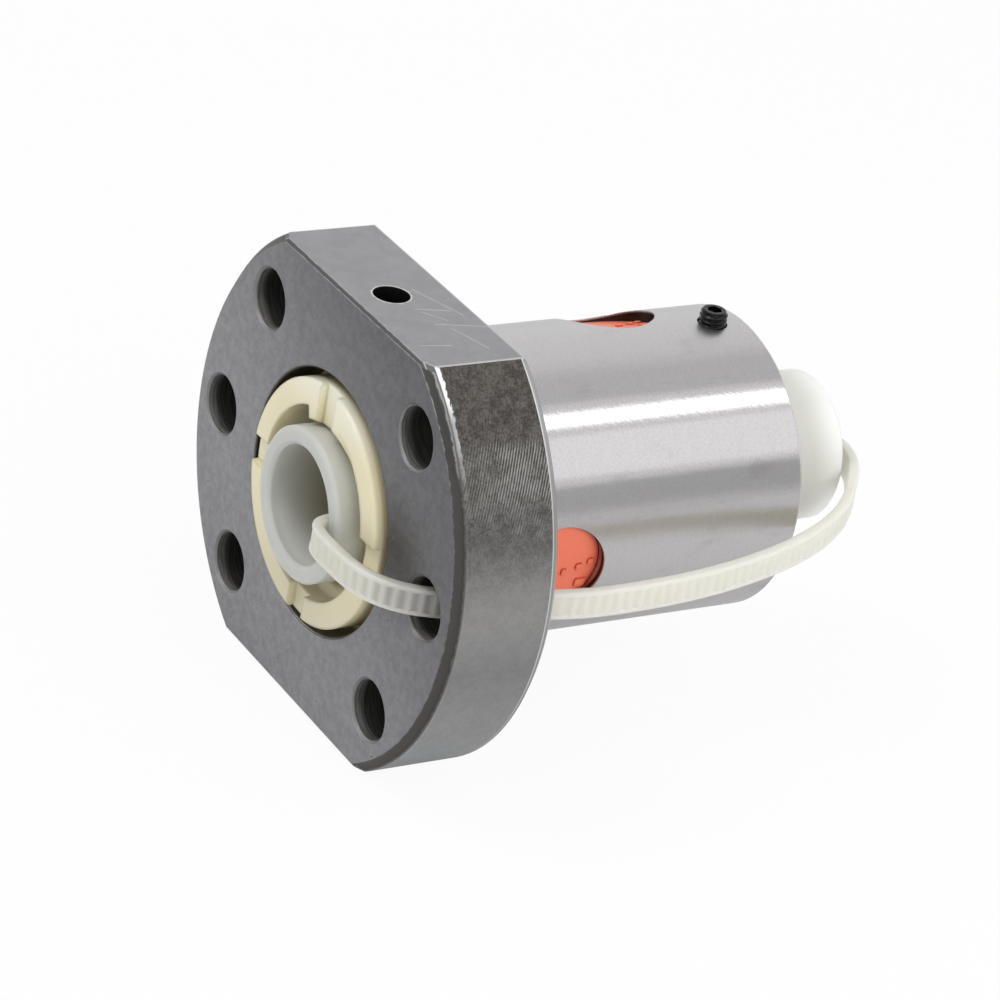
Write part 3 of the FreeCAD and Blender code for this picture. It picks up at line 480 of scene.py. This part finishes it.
def ground_steel():
    """Steel with a finish of its own on each surface of the nut.

    Masks over the object coordinates tell the surfaces apart: the ground face, the milled flats, the
    turned rim, the broken edges between them, the ground body, and the drilled holes.
    """
    steel = Finish("ground_steel")
    x, y, z = steel.axes()
    radius = steel.sum("SQRT", steel.sum("ADD", steel.sum("MULTIPLY", x, x), steel.sum("MULTIPLY", z, z)))
    angle = steel.sum("ARCTAN2", z, x)
    raised = steel.sum("ABSOLUTE", z)
    depth = steel.sum("SUBTRACT", y, FRONT_FACE)

    on_body = steel.step(y, EDGE, 2 * EDGE)
    on_face = steel.step(depth, 2 * EDGE, EDGE)
    on_flat = steel.step(raised, FLAT_HEIGHT - 2 * EDGE, FLAT_HEIGHT - EDGE)
    on_rim = steel.step(radius, FLANGE_RADIUS - 3 * EDGE, FLANGE_RADIUS - 1.5 * EDGE)
    near_front = steel.step(depth, RIM_CHAMFER + EDGE, RIM_CHAMFER)
    inside = steel.step(radius, SEAT_RADIUS + 2 * EDGE, SEAT_RADIUS + EDGE)
    hole = bolt_hole_distance(steel, x, z)
    in_hole = steel.step(hole, BOLT_HOLE_RADIUS + 2 * EDGE, BOLT_HOLE_RADIUS + EDGE)
    on_mouth = steel.step(hole, HOLE_MOUTH_RADIUS + 2 * EDGE, HOLE_MOUTH_RADIUS + EDGE)

    cloud = steel.noise(220.0, detail=5.0)
    grain = steel.noise(3200.0, detail=4.0)
    rim_tone, rim_height = rim_finish(steel, y, z, angle, radius)
    flat_tone, port = flat_finish(steel, x, y, cloud)
    face_tone, pits = face_finish(steel, y, cloud)
    body_tone, body_rough, body_height = body_finish(steel, y, z, angle, radius)

    # Painted highlight: a bright line where the back chamfer meets the rim.
    back_share = steel.sum("MULTIPLY_ADD", y, 1 / BACK_CHAMFER, 1.0)
    back_edge_with_highlight = steel.ramp(
        back_share, (0.0, grey(0.62)), (0.35, grey(0.58)), (0.50, grey(0.36)), (1.0, grey(0.33)),
    )
    tone = steel.blend(near_front, back_edge_with_highlight, front_edge_finish(steel, x, depth, z, raised))
    tone = steel.blend(on_body, tone, body_tone)
    tone = steel.blend(on_rim, tone, rim_tone)
    tone = steel.blend(on_flat, tone, flat_tone)
    tone = steel.blend(on_mouth, tone, grey(0.22, 0.01))
    tone = steel.blend(on_face, tone, face_tone)
    drilled = steel.noise(2600.0, detail=3.0, stretch=(0.15, 2.0, 0.15))
    from_mouth = steel.sum("MINIMUM", depth, steel.sum("MULTIPLY", y, -1.0))
    # Painted shade: the bolt holes' walls darken with depth from each mouth.
    shaded_hole_wall = steel.blend(steel.step(from_mouth, 0.4 * MM, 1.5 * MM), grey(0.34, 0.02), grey(0.075, 0.04))
    shaded_hole_wall = steel.blend(steel.step(drilled, 0.65, 0.35), shaded_hole_wall, grey(0.55), "MULTIPLY")
    on_flange = steel.step(y, 2 * EDGE, EDGE)
    in_hole = steel.sum("MULTIPLY", in_hole, on_flange)
    tone = steel.blend(in_hole, tone, shaded_hole_wall)
    # Painted shade and painted reflection on the seat's wall: dark in its upper part, lighter grey low
    # down.
    seat = steel.blend(steel.step(z, -5 * MM, -9 * MM), grey(0.07, 0.03), grey(0.30, 0.03))
    tone = steel.blend(inside, tone, seat)
    # Painted shade: the port's inside is near black.
    in_port = steel.sum("MULTIPLY", steel.step(port, PORT_RADIUS + EDGE, PORT_RADIUS), on_flange)
    tone = steel.blend(in_port, tone, grey(0.04))

    rough = steel.sum("MULTIPLY_ADD", grain, 0.10, 0.42)
    rough = steel.spread(on_body, rough, body_rough)
    rough = steel.sum("MAXIMUM", rough, steel.sum("MULTIPLY", in_hole, 0.7))
    flange_grain = steel.sum("MULTIPLY", grain, 0.3)
    grainy = steel.spread(on_body, flange_grain, steel.sum("MULTIPLY", body_height, 0.45))
    height = steel.sum("MULTIPLY_ADD", steel.sum("MULTIPLY", on_rim, rim_height), 0.7, grainy)
    height = steel.sum("MULTIPLY_ADD", steel.sum("MULTIPLY", on_face, pits), -3.0, height)
    normal = steel.bump(height, 0.012 * MM, under=steel.soft_edges(0.12 * MM))
    steel.set(Base_Color=tone, Metallic=1.0, Roughness=rough, Normal=normal)
    return steel.material


def cream_plastic():
    """Moulded cream plastic, glossy, with faint flow clouds and a deeper yellow painted in its corners as
    shade.

    It is painted paler at the top as light, and greyer at the bottom as shade.
    """
    plastic = Finish("wiper_plastic")
    cloud = plastic.noise(260.0, detail=4.0)
    tone = plastic.blend(cloud, (0.88, 0.80, 0.55, 1.0), (0.92, 0.85, 0.605, 1.0))
    _, _, z = plastic.axes()
    # Painted shade: greyer towards the bottom.
    tone = plastic.blend(plastic.step(z, -3 * MM, -12 * MM), tone, (0.78, 0.79, 0.80, 1.0), "MULTIPLY")
    # Painted light: paler and less yellow at the top.
    tone = plastic.blend(plastic.step(z, 7 * MM, 11 * MM), tone, (0.97, 0.93, 0.76, 1.0))
    # Painted shade: a deeper yellow in the corners, from ambient occlusion.
    open_share = plastic.add("ShaderNodeAmbientOcclusion", samples=6)
    open_share.inputs["Distance"].default_value = 1.6 * MM
    painted_crevice_shade = plastic.step(open_share.outputs["AO"], 0.55, 0.15)
    tone = plastic.blend(painted_crevice_shade, tone, (0.60, 0.48, 0.19, 1.0))
    grain = plastic.noise(2600.0, detail=3.0)
    normal = plastic.bump(grain, 0.01 * MM, under=plastic.soft_edges(0.45 * MM))
    plastic.set(
        Base_Color=tone, Roughness=0.16, Normal=normal, Subsurface_Weight=0.35,
        Subsurface_Radius=(1.0, 0.8, 0.4), Subsurface_Scale=1.2 * MM, IOR=1.48,
    )
    return plastic.material


def milky_plastic():
    """Natural milky plastic that light soaks into.

    It is painted as light and shade: darker and yellower deep in the bore, paler low in the bore's mouth,
    darker towards the front and whiter at the rear end.
    """
    plastic = Finish("sleeve_plastic")
    cloud = plastic.noise(180.0, detail=3.0)
    tone = plastic.blend(cloud, (0.60, 0.605, 0.56, 1.0), (0.665, 0.67, 0.63, 1.0))
    x, y, z = plastic.axes()
    radius = plastic.vector("LENGTH", plastic.joined(x, 0.0, z))["Value"]
    in_bore = plastic.step(radius, SLEEVE_BORE_RADIUS + 4 * EDGE, SLEEVE_BORE_RADIUS + EDGE)
    past_edge = plastic.step(y, FRONT_FACE - 1.8 * MM, FRONT_FACE - 0.8 * MM)
    # Painted light: the lower part of the bore's mouth is paler.
    lit_lower_bore = plastic.sum("MULTIPLY", in_bore, past_edge)
    lit_lower_bore = plastic.sum("MULTIPLY", lit_lower_bore, plastic.step(z, 1 * MM, -4 * MM))
    tone = plastic.blend(lit_lower_bore, tone, (0.80, 0.80, 0.77, 1.0))
    # Painted shade: darker and yellower deep in the bore.
    deep = plastic.sum("MULTIPLY", in_bore, plastic.step(y, FRONT_FACE - 2 * MM, FRONT_FACE + 6 * MM))
    tone = plastic.blend(deep, tone, (0.42, 0.38, 0.24, 1.0))
    # Painted shade: darker and cooler towards the front.
    tone = plastic.blend(plastic.step(y, BODY_REAR, FRONT_FACE), tone, (0.91, 0.92, 0.95, 1.0), "MULTIPLY")
    # Painted light: whiter at the rear end.
    whiter = plastic.step(y, BODY_REAR + 5.5 * MM, BODY_REAR + 10 * MM)
    tone = plastic.blend(whiter, tone, (0.92, 0.92, 0.90, 1.0))
    grain = plastic.noise(1400.0, detail=3.0)
    normal = plastic.bump(grain, 0.015 * MM, under=plastic.soft_edges(0.25 * MM))
    plastic.set(
        Base_Color=tone, Roughness=0.38, Normal=normal, Subsurface_Weight=0.75,
        Subsurface_Radius=(1.0, 0.95, 0.8), Subsurface_Scale=2.2 * MM, IOR=1.5,
    )
    return plastic.material


def natural_nylon():
    """Natural nylon of the tie: pale, a little warm, soaked with light and smooth.

    The valleys between the teeth are thin. Painted shade darkens the strap towards the bolt hole, most in
    the valleys, and darkens the valleys a little all along.
    """
    nylon = Finish("tie_nylon")
    cloud = nylon.noise(300.0, detail=3.0)
    tone = nylon.blend(cloud, (0.67, 0.66, 0.565, 1.0), (0.73, 0.725, 0.65, 1.0))
    x, y, _ = nylon.axes()
    in_front = nylon.step(y, FRONT_FACE + 5 * MM, FRONT_FACE + 2 * MM)
    # Painted shade: darker towards the bolt hole at the front, most in the valleys.
    shade_by_hole = nylon.sum("MULTIPLY", nylon.step(x, BOLT_RADIUS - 7.5 * MM, BOLT_RADIUS - 2 * MM), in_front)
    in_hole = nylon.sum("MULTIPLY", nylon.step(x, BOLT_RADIUS - 5 * MM, BOLT_RADIUS - 1.5 * MM), in_front)
    valley = nylon.add("ShaderNodeAttribute", attribute_name="valley").outputs["Fac"]
    tone = nylon.blend(nylon.sum("MULTIPLY", valley, shade_by_hole), tone, (0.76, 0.76, 0.80, 1.0), "MULTIPLY")
    tone = nylon.blend(in_hole, tone, (0.66, 0.66, 0.70, 1.0), "MULTIPLY")
    # Painted shade: the valleys a little darker all along.
    tone = nylon.blend(valley, tone, (0.98, 0.98, 0.985, 1.0), "MULTIPLY")
    nylon.set(
        Base_Color=tone, Roughness=0.28, Subsurface_Weight=1.0, Subsurface_Radius=(1.0, 0.95, 0.85),
        Subsurface_Scale=3.2 * MM, IOR=1.53,
    )
    return nylon.material


def coral_plastic():
    """Coral plastic of the ball returns, with a fine moulded grain and a deeper red painted in its corners
    as shade.
    """
    plastic = Finish("return_plastic")
    cloud = plastic.noise(420.0, detail=4.0)
    tone = plastic.blend(cloud, (0.98, 0.195, 0.10, 1.0), (1.0, 0.225, 0.118, 1.0))
    # Painted shade: a deeper red in the corners, from ambient occlusion.
    open_share = plastic.add("ShaderNodeAmbientOcclusion", samples=6)
    open_share.inputs["Distance"].default_value = 0.7 * MM
    corner = plastic.step(open_share.outputs["AO"], 0.90, 0.60)
    tone = plastic.blend(corner, tone, (0.70, 0.075, 0.04, 1.0))
    grain = plastic.noise(2400.0, detail=4.0)
    normal = plastic.bump(grain, 0.02 * MM, under=plastic.soft_edges(0.2 * MM))
    plastic.set(
        Base_Color=tone, Roughness=0.34, Normal=normal, Subsurface_Weight=0.2,
        Subsurface_Radius=(1.0, 0.4, 0.25), Subsurface_Scale=0.6 * MM,
    )
    return plastic.material


def black_oxide():
    """Black oxide on the set screw, with worn grey on its highest grain."""
    oxide = Finish("black_steel")
    grain = oxide.noise(2800.0, detail=4.0)
    tone = oxide.blend(oxide.step(grain, 0.55, 0.75), grey(0.012), grey(0.04))
    normal = oxide.bump(grain, 0.015 * MM, under=oxide.soft_edges(0.08 * MM))
    oxide.set(Base_Color=tone, Metallic=0.8, Roughness=0.27, Normal=normal)
    return oxide.material


def polished_steel():
    """Polished bearing steel of the balls, with faint cloudy wear."""
    steel = Finish("bearing_steel")
    cloud = steel.noise(700.0, detail=3.0)
    steel.set(
        Base_Color=steel.blend(cloud, grey(0.55), grey(0.66)), Metallic=1.0,
        Roughness=steel.spread(cloud, 0.08, 0.16),
    )
    return steel.material


def closed_grid(name, points, material):
    """A mesh from a grid of points: rows follow one another, each row is a closed ring.

    Neighbouring rows are joined by quads, and the first and last rows are closed by one face each.
    """
    rows, ring, _ = points.shape
    index = np.arange(rows * ring).reshape(rows, ring)
    turned = np.roll(index, -1, axis=1)
    quads = np.stack((index[:-1], turned[:-1], turned[1:], index[1:]), axis=-1).reshape(-1, 4)
    faces = quads.tolist() + [index[0, ::-1].tolist(), index[-1].tolist()]
    mesh = bpy.data.meshes.new(name)
    mesh.from_pydata(points.reshape(-1, 3), [], faces)
    mesh.materials.append(material)
    mesh.update()
    piece = bpy.data.objects.new(name, mesh)
    bpy.context.scene.collection.objects.link(piece)
    return piece


def smooth_through(points, step):
    """A natural cubic spline through points, as places at an even step along it and their tangents.

    The spline's knots are the chord lengths. Its second derivatives solve the tridiagonal system of a
    natural spline, and a fine sampling is then spaced out evenly by its own length.
    """
    knots = np.concatenate(([0.0], np.cumsum(np.linalg.norm(np.diff(points, axis=0), axis=1))))
    gaps = np.diff(knots)
    slopes = np.diff(points, axis=0) / gaps[:, None]
    count = len(points)
    system = np.eye(count)
    inner = np.arange(1, count - 1)
    system[inner, inner - 1] = gaps[:-1]
    system[inner, inner] = 2 * (gaps[:-1] + gaps[1:])
    system[inner, inner + 1] = gaps[1:]
    right = np.zeros_like(points)
    right[1:-1] = 6 * np.diff(slopes, axis=0)
    curve = np.linalg.solve(system, right)

    fine = np.linspace(0.0, knots[-1], 40 * count)
    piece = np.clip(np.searchsorted(knots, fine, side="right") - 1, 0, count - 2)
    before = (fine - knots[piece])[:, None]
    after = (knots[piece + 1] - fine)[:, None]
    gap = gaps[piece][:, None]
    places = (
        (curve[piece] * after ** 3 + curve[piece + 1] * before ** 3) / (6 * gap)
        + (points[piece] / gap - curve[piece] * gap / 6) * after
        + (points[piece + 1] / gap - curve[piece + 1] * gap / 6) * before
    )
    along = np.concatenate(([0.0], np.cumsum(np.linalg.norm(np.diff(places, axis=0), axis=1))))
    even = np.linspace(0.0, along[-1], int(along[-1] / step) + 1)
    spaced = np.stack([np.interp(even, along, places[:, axis]) for axis in range(places.shape[1])], axis=1)
    tangents = np.gradient(spaced, axis=0)
    return spaced, tangents / np.linalg.norm(tangents, axis=1)[:, None], even


def rounded_ring(half_out, half_across, corner, face_points=()):
    """A rectangle with rounded corners as a ring of out and across distances.

    Each corner is a quarter circle in three points, and the out side has the given points between its
    corners, at their across distances.
    """
    turn = np.radians((0.0, 45.0, 90.0))
    stretches = []
    for quarter, (side_out, side_across) in enumerate(((1, -1), (1, 1), (-1, 1), (-1, -1))):
        swing = turn + math.pi / 2 * (quarter - 1)
        out = side_out * (half_out - corner) + corner * np.cos(swing)
        across = side_across * (half_across - corner) + corner * np.sin(swing)
        stretches.append(np.stack((out, across), axis=1))
        if quarter == 0 and len(face_points):
            stretches.append(np.stack((np.full(len(face_points), half_out), face_points), axis=1))
    return np.concatenate(stretches)


def make_strap(material):
    """The tie's strap: a toothed section carried along the route.

    The outer side keeps a rail along each edge. Between the rails the teeth sink by a raised cosine of
    the distance along the strap, which the finish reads as an attribute.
    """
    route = np.array(STRAP_ROUTE) * MM
    places, tangents, along = smooth_through(route, STRAP_STEP)
    rail = STRAP_HALF_WIDTH - RAIL_WIDTH
    toothed = np.array((-rail, -0.9 * rail, -0.4 * rail, 0.0, 0.4 * rail, 0.9 * rail, rail))
    section = rounded_ring(STRAP_HALF_THICKNESS, STRAP_HALF_WIDTH, STRAP_CORNER, toothed)
    sunk = (section[:, 0] > 0.99 * STRAP_HALF_THICKNESS) & (np.abs(section[:, 1]) < 0.95 * rail)
    wave = 0.5 - 0.5 * np.cos(2 * math.pi * along / TOOTH_PITCH)
    out = section[None, :, 0] - TOOTH_DEPTH * wave[:, None] * sunk[None, :]
    across = np.broadcast_to(section[None, :, 1], out.shape)
    outward = np.stack((tangents[:, 1], -tangents[:, 0]), axis=1)
    flat = places[:, None, :] + out[..., None] * outward[:, None, :]
    points = np.concatenate((flat, -across[..., None]), axis=-1)
    strap = closed_grid("tie_strap", points, material)
    valley = strap.data.attributes.new("valley", "FLOAT", "POINT")
    valley.data.foreach_set("value", (wave[:, None] * sunk[None, :]).astype(np.float32).ravel())
    return strap


def make_head(material):
    """The tie's head inside the sleeve: a block with rounded edges, as rings stacked along the axis."""
    _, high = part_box("cable_tie")
    half_width = high.z
    right = math.sqrt(HEAD_REACH ** 2 - half_width ** 2)
    end = HEAD_START + HEAD_LENGTH
    stations = (HEAD_START, HEAD_START + HEAD_EDGE, end - HEAD_EDGE, end)
    insets = (HEAD_EDGE, 0.0, 0.0, HEAD_EDGE)
    rings = []
    for station, inset in zip(stations, insets):
        ring = rounded_ring((right - HEAD_LEFT) / 2 - inset, half_width - inset, HEAD_CORNER)
        middle = np.full(len(ring), (HEAD_LEFT + right) / 2)
        rings.append(np.stack((middle + ring[:, 0], np.full(len(ring), station), -ring[:, 1]), axis=1))
    return closed_grid("tie_head", np.array(rings), material)


def make_set_screw(material):
    """The set screw: rings of points stacked along its axis, up its thread and down into its socket.

    The thread sinks by a raised cosine of height less one pitch a turn. The socket's rings are
    hexagons: the half width over the cosine of the angle from the middle of the nearest side.
    """
    low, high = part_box("wiper_set_screw")
    radius = high.x
    angles = np.linspace(0.0, 2 * math.pi, 72, endpoint=False)
    rising = np.linspace(low.z + SCREW_CHAMFER, high.z - SCREW_CHAMFER, 90)
    phase = 2 * math.pi * rising[:, None] / THREAD_PITCH - angles
    sides = radius - THREAD_DEPTH * (0.5 - 0.5 * np.cos(phase))
    hexagon = SOCKET_HALF_WIDTH / np.cos((angles + math.pi / 6) % (math.pi / 3) - math.pi / 6)
    plain = np.ones_like(angles)
    radii = np.vstack((
        (radius - THREAD_DEPTH - SCREW_CHAMFER) * plain, sides, (radius - SCREW_CHAMFER) * plain,
        (SOCKET_HALF_WIDTH + SCREW_CHAMFER) * plain, hexagon, hexagon,
    ))
    heights = np.concatenate(([low.z], rising, np.array((0.0, 0.0, 0.0, -SOCKET_DEPTH)) + high.z))
    points = np.stack((
        radii * np.cos(angles),
        SCREW_STATION + radii * np.sin(angles),
        np.broadcast_to(heights[:, None], radii.shape),
    ), axis=-1)
    return closed_grid("set_screw", points, material)


def on_insert(number, ring, heights):
    """Rings of station and across distances laid on an insert's flat top, at these heights over it."""
    turn = RETURN_ANGLES[number]
    out = np.array((math.cos(turn), 0.0, math.sin(turn)))
    across = np.array((-math.sin(turn), 0.0, math.cos(turn)))
    station = np.array((0.0, 1.0, 0.0))
    middle = RETURN_STATIONS[number] * station
    reach = INSERT_TOP + np.asarray(heights)
    return middle + reach[:, None, None] * out + ring[..., :1] * station + ring[..., 1:] * across


def make_insert_pads(number, material):
    """The moulded pads of one insert: low blocks with rounded corners, in rings from foot to top."""
    heights = (-PAD_ROOT, PAD_HEIGHT - PAD_INSET, PAD_HEIGHT)
    insets = (0.0, 0.0, PAD_INSET)
    for pad, (place, half_size) in enumerate(zip(PAD_PLACES, PAD_HALF_SIZES), start=1):
        rings = np.array([place + rounded_ring(*(half_size - inset), PAD_CORNER) for inset in insets])
        yield closed_grid(f"insert_pad_{number + 1}_{pad}", on_insert(number, rings, heights), material)


def paint(node_name, material):
    """Give a node of the frame this material alone."""
    slots = nodes[node_name].data.materials
    slots.clear()
    slots.append(material)


def make_camera():
    """The camera of the photograph, from its fitted place, axes and angle of view."""
    turn = Matrix((CAMERA_RIGHT, -CAMERA_DOWN, -CAMERA_FORWARD)).transposed()
    lens = bpy.data.cameras.new("camera")
    lens.lens = lens.sensor_width * FOCAL_PIXELS / PICTURE_PIXELS
    lens.clip_start = 0.01
    camera = bpy.data.objects.new("camera", lens)
    camera.matrix_world = Matrix.Translation(CAMERA_PLACE) @ turn.to_4x4()
    bpy.context.scene.collection.objects.link(camera)
    bpy.context.scene.camera = camera


def make_lamp(name, place, target, width, length, power, mirrored=True):
    """A rectangular soft box that faces a target, its length along the screw axis.

    One that isn't mirrored lights the plastics and the floor, and the steel doesn't show it.
    """
    lamp = bpy.data.lights.new(name, "AREA")
    lamp.shape = "RECTANGLE"
    lamp.size = width
    lamp.size_y = length
    lamp.energy = power
    box = bpy.data.objects.new(name, lamp)
    box.matrix_world = facing(place, target)
    box.visible_glossy = mirrored
    bpy.context.scene.collection.objects.link(box)


def facing(place, target, long_axis=Vector((0, 1, 0))):
    """The matrix that puts a flat piece at a place, square to a target, its length along an axis."""
    back = (place - target).normalized()
    side = long_axis.cross(back).normalized()
    turn = Matrix((side, back.cross(side), back)).transposed()
    return Matrix.Translation(place) @ turn.to_4x4()


def flat_sheet(name, half_width, half_length, height, material):
    """One level rectangle about the origin, at this height."""
    sides = ((-1, -1), (1, -1), (1, 1), (-1, 1))
    corners = [(half_width * across, half_length * along, height) for across, along in sides]
    mesh = bpy.data.meshes.new(name)
    mesh.from_pydata(corners, [], [(0, 1, 2, 3)])
    mesh.materials.append(material)
    sheet = bpy.data.objects.new(name, mesh)
    bpy.context.scene.collection.objects.link(sheet)
    return sheet


def make_card(name, place, target, width, length, level):
    """A grey card beside the lamps, out of the picture, that the ground body mirrors as a darker band."""
    material = bpy.data.materials.new(name)
    material.use_nodes = True
    shader = material.node_tree.nodes["Principled BSDF"]
    shader.inputs["Base Color"].default_value = grey(level)
    shader.inputs["Roughness"].default_value = 1.0
    card = flat_sheet(name, width / 2, length / 2, 0.0, material)
    card.matrix_world = facing(place, target)
    card.visible_camera = False
    card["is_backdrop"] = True


def seen_directly(tree, mirrored=1.0):
    """1 for rays from the camera and through clear material, a share for those from gloss, otherwise 0."""
    path = tree.nodes.new("ShaderNodeLightPath")
    direct = tree.nodes.new("ShaderNodeMath")
    direct.operation = "MAXIMUM"
    tree.links.new(path.outputs["Is Camera Ray"], direct.inputs[0])
    tree.links.new(path.outputs["Is Transmission Ray"], direct.inputs[1])
    total = tree.nodes.new("ShaderNodeMath")
    total.operation = "MULTIPLY_ADD"
    total.inputs[1].default_value = mirrored
    tree.links.new(path.outputs["Is Glossy Ray"], total.inputs[0])
    tree.links.new(direct.outputs[0], total.inputs[2])
    return total.outputs[0]


def make_world():
    """A white surround where it is seen, and a soft even light on the object."""
    world = bpy.data.worlds.new("surround")
    world.use_nodes = True
    tree = world.node_tree
    background = tree.nodes["Background"]
    background.inputs["Color"].default_value = (1.0, 1.0, 1.0, 1.0)
    level = tree.nodes.new("ShaderNodeMapRange")
    level.inputs["To Min"].default_value = 0.55
    level.inputs["To Max"].default_value = 1.0
    tree.links.new(seen_directly(tree), level.inputs["Value"])
    tree.links.new(level.outputs["Result"], background.inputs["Strength"])
    bpy.context.scene.world = world


def make_floor():
    """A pale floor under the flange: white where it is seen, with the object's soft shadow on it.

    In the steel it is mirrored with more of its shadow.
    """
    material = bpy.data.materials.new("floor")
    material.use_nodes = True
    tree = material.node_tree
    paint_shader = tree.nodes["Principled BSDF"]
    paint_shader.inputs["Base Color"].default_value = (0.9, 0.9, 0.9, 1.0)
    paint_shader.inputs["Roughness"].default_value = 0.9
    paint_shader.inputs["Specular IOR Level"].default_value = 0.0
    glow = tree.nodes.new("ShaderNodeEmission")
    glow.inputs["Strength"].default_value = 1.0
    share = tree.nodes.new("ShaderNodeMath")
    share.operation = "MULTIPLY"
    share.inputs[1].default_value = 0.93
    tree.links.new(seen_directly(tree, mirrored=0.3), share.inputs[0])
    mix = tree.nodes.new("ShaderNodeMixShader")
    tree.links.new(share.outputs[0], mix.inputs["Fac"])
    tree.links.new(paint_shader.outputs[0], mix.inputs[1])
    tree.links.new(glow.outputs[0], mix.inputs[2])
    tree.links.new(mix.outputs[0], tree.nodes["Material Output"].inputs["Surface"])

    floor = flat_sheet("floor", FLOOR_REACH, FLOOR_REACH, nut_low.z - FLOOR_GAP, material)
    floor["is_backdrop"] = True


make_camera()
make_world()
make_floor()
middle = (cad_box[0] + cad_box[1]) / 2
make_lamp("strip_box", Vector((0.149, 0.275, 0.393)), middle, width=0.08, length=0.5, power=0.20)
make_lamp("dim_strip_box", Vector((0.312, 0.25, 0.281)), middle, width=0.227, length=0.5, power=0.113)
make_lamp("key_box", Vector((-0.15, -0.35, 0.70)), middle, width=0.3, length=0.3, power=1.7)
make_lamp("side_box", Vector((0.45, 0.05, 0.20)), middle, width=0.4, length=0.4, power=1.15, mirrored=False)
make_card("low_card", Vector((0.296, 0.19, 0.05)), middle, width=0.117, length=0.30, level=0.72)
make_card("high_card", Vector((-0.040, 0.275, 0.418)), middle, width=0.186, length=0.50, level=0.70)

finishes = {
    "nut_body": ground_steel(),
    "front_wiper": cream_plastic(),
    "wiper_set_screw": black_oxide(),
    "transport_sleeve": milky_plastic(),
}
finishes["rear_wiper"] = finishes["front_wiper"]
coral = coral_plastic()
polished = polished_steel()
for node_name in nodes:
    if node_name.startswith("ball_"):
        finishes[node_name] = polished
    elif node_name.startswith("deflector_"):
        finishes[node_name] = coral
for node_name, finish in finishes.items():
    paint(node_name, finish)

nylon = natural_nylon()
for tie_piece in (make_strap(nylon), make_head(nylon)):
    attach(tie_piece, "nut")
    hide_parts("cable_tie")

set_screw = make_set_screw(finishes["wiper_set_screw"])
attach(set_screw, "nut")
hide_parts("wiper_set_screw")
for insert in range(RETURN_COUNT):
    for pad in make_insert_pads(insert, coral):
        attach(pad, "nut")

bpy.context.scene.view_settings.view_transform = "Standard"
boxes = {"cad": cad_box, "visual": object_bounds()}
{name: [list(corner) for corner in box] for name, box in boxes.items()}
